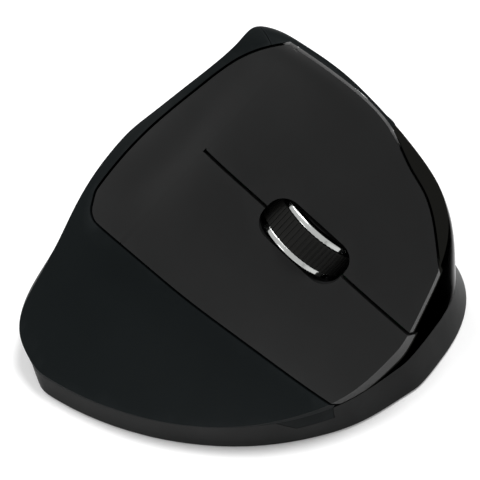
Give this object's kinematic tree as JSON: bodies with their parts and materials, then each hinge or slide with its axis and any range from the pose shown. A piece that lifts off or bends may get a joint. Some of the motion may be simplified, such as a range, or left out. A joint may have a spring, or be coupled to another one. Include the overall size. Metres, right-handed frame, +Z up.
{
  "type": "vertical computer mouse",
  "caption": "Right-handed wireless vertical mouse: a steep finger slope with keys and a scroll wheel, a thumb side with buttons, and a battery door, power slide and stowed receiver below.",
  "frame": {"origin": "middle of the footprint's box, on the surface that the mouse stands on", "axes": "+X towards the little finger, +Y towards the front, +Z up"},
  "size_m": [0.083, 0.09, 0.0675],
  "materials": {
    "panel_plastic": "satin, fine grain",
    "side_plastic": "matte, soft touch",
    "base_plastic": "matte",
    "gloss_trim": "high gloss",
    "button_plastic": "gloss",
    "inner_plastic": "as moulded",
    "tread_rubber": "ribbed",
    "rim_chrome": "polished",
    "board": "solder mask",
    "switch_plastic": "as moulded",
    "plunger_plastic": "as moulded",
    "clear_lens": "clear moulding",
    "steel": "plated",
    "cell_wrap": "printed wrap"
  },
  "bodies": {
    "housing": {"lower_case": "base_plastic", "palm_shell": "side_plastic", "thumb_shell": "side_plastic", "front_trim": "gloss_trim", "rear_panel": "panel_plastic", "inner_frame": "inner_plastic", "button_board": "board", "carrier_brackets": "inner_plastic", "left_switch": "switch_plastic", "right_switch": "switch_plastic", "wheel_switch": "switch_plastic", "side_board": "board", "back_switch": "switch_plastic", "forward_switch": "switch_plastic", "main_board": "board", "sensor_chip": "switch_plastic", "sensor_led": "clear_lens", "radio_chip": "switch_plastic", "sensor_lens": "clear_lens", "power_switch": "switch_plastic", "board_screws": "steel", "case_screws": "steel", "feet": "plunger_plastic", "battery_contacts": "steel", "battery_springs": "steel", "batteries": "cell_wrap"},
    "left_key_body": {"left_key": "panel_plastic"},
    "left_plunger_body": {"left_plunger": "plunger_plastic"},
    "right_key_body": {"right_key": "panel_plastic"},
    "right_plunger_body": {"right_plunger": "plunger_plastic"},
    "carrier": {"wheel_carrier": "inner_plastic", "scroll_encoder": "inner_plastic"},
    "wheel": {"wheel_hub": "inner_plastic", "wheel_tread": "tread_rubber", "wheel_rim_left": "rim_chrome", "wheel_rim_right": "rim_chrome"},
    "wheel_plunger_body": {"wheel_plunger": "plunger_plastic"},
    "back_button_body": {"back_button": "button_plastic"},
    "back_plunger_body": {"back_plunger": "plunger_plastic"},
    "forward_button_body": {"forward_button": "button_plastic"},
    "forward_plunger_body": {"forward_plunger": "plunger_plastic"},
    "power_knob_body": {"power_knob": "button_plastic"},
    "door": {"battery_door": "base_plastic"},
    "receiver": {"receiver_cap": "switch_plastic", "receiver_plug": "steel"}
  },
  "joints": [
    {"name": "left_key_press", "type": "hinge", "parent": "housing", "child": "left_key_body", "pos_m": [-0.00465, -0.01064, 0.04659], "axis": [0.6739, -0.3134, -0.6691], "range_deg": [-0.438, 0], "stiffness_Nm_per_rad": 1.5, "springref_deg": 1.15},
    {"name": "right_key_press", "type": "hinge", "parent": "housing", "child": "right_key_body", "pos_m": [-0.00465, -0.01064, 0.04659], "axis": [0.6739, -0.3134, -0.6691], "range_deg": [-0.438, 0], "stiffness_Nm_per_rad": 1.5, "springref_deg": 1.15},
    {"name": "left_plunger_slide", "type": "slide", "parent": "housing", "child": "left_plunger_body", "axis": [-0.7389, -0.2876, -0.6094], "range_m": [0, 0.00032]},
    {"name": "right_plunger_slide", "type": "slide", "parent": "housing", "child": "right_plunger_body", "axis": [-0.7389, -0.2876, -0.6094], "range_m": [0, 0.00032]},
    {"name": "wheel_press", "type": "hinge", "parent": "housing", "child": "carrier", "pos_m": [-0.01029, 0.00004, 0.03591], "axis": [0.6739, -0.3134, -0.6691], "range_deg": [-1.01, 0], "stiffness_Nm_per_rad": 1, "springref_deg": 1.72},
    {"name": "wheel_spin", "type": "hinge", "parent": "carrier", "child": "wheel", "pos_m": [-0.0103, 0.01271, 0.02996], "axis": [0.6739, -0.3134, -0.6691], "continuous": true},
    {"name": "wheel_plunger_slide", "type": "slide", "parent": "housing", "child": "wheel_plunger_body", "axis": [-0.7389, -0.2876, -0.6094], "range_m": [0, 0.00052]},
    {"name": "back_button_press", "type": "slide", "parent": "housing", "child": "back_button_body", "axis": [1, 0, 0], "range_m": [0, 0.0004], "stiffness_N_per_m": 400, "springref_m": -0.001},
    {"name": "back_plunger_slide", "type": "slide", "parent": "housing", "child": "back_plunger_body", "axis": [1, 0, 0], "range_m": [0, 0.0004]},
    {"name": "forward_button_press", "type": "slide", "parent": "housing", "child": "forward_button_body", "axis": [1, 0, 0], "range_m": [0, 0.0004], "stiffness_N_per_m": 400, "springref_m": -0.001},
    {"name": "forward_plunger_slide", "type": "slide", "parent": "housing", "child": "forward_plunger_body", "axis": [1, 0, 0], "range_m": [0, 0.0004]},
    {"name": "power_slide", "type": "slide", "parent": "housing", "child": "power_knob_body", "axis": [0, 1, 0], "range_m": [0, 0.0026]},
    {"name": "door_swing", "type": "hinge", "parent": "housing", "child": "door", "pos_m": [0.00801, 0.01576, 0.00165], "axis": [1, 0, 0], "range_deg": [0, 95]},
    {"name": "receiver_out", "type": "slide", "parent": "housing", "child": "receiver", "axis": [0, 0, -1], "range_m": [0, 0.009]}
  ],
  "couplings": [
    {"joint": "left_plunger_slide", "follows": "left_key_press", "m_per_rad": -0.039215},
    {"joint": "right_plunger_slide", "follows": "right_key_press", "m_per_rad": -0.039215},
    {"joint": "wheel_plunger_slide", "follows": "wheel_press", "m_per_rad": -0.0284},
    {"joint": "back_plunger_slide", "follows": "back_button_press", "ratio": 1},
    {"joint": "forward_plunger_slide", "follows": "forward_button_press", "ratio": 1}
  ]
}
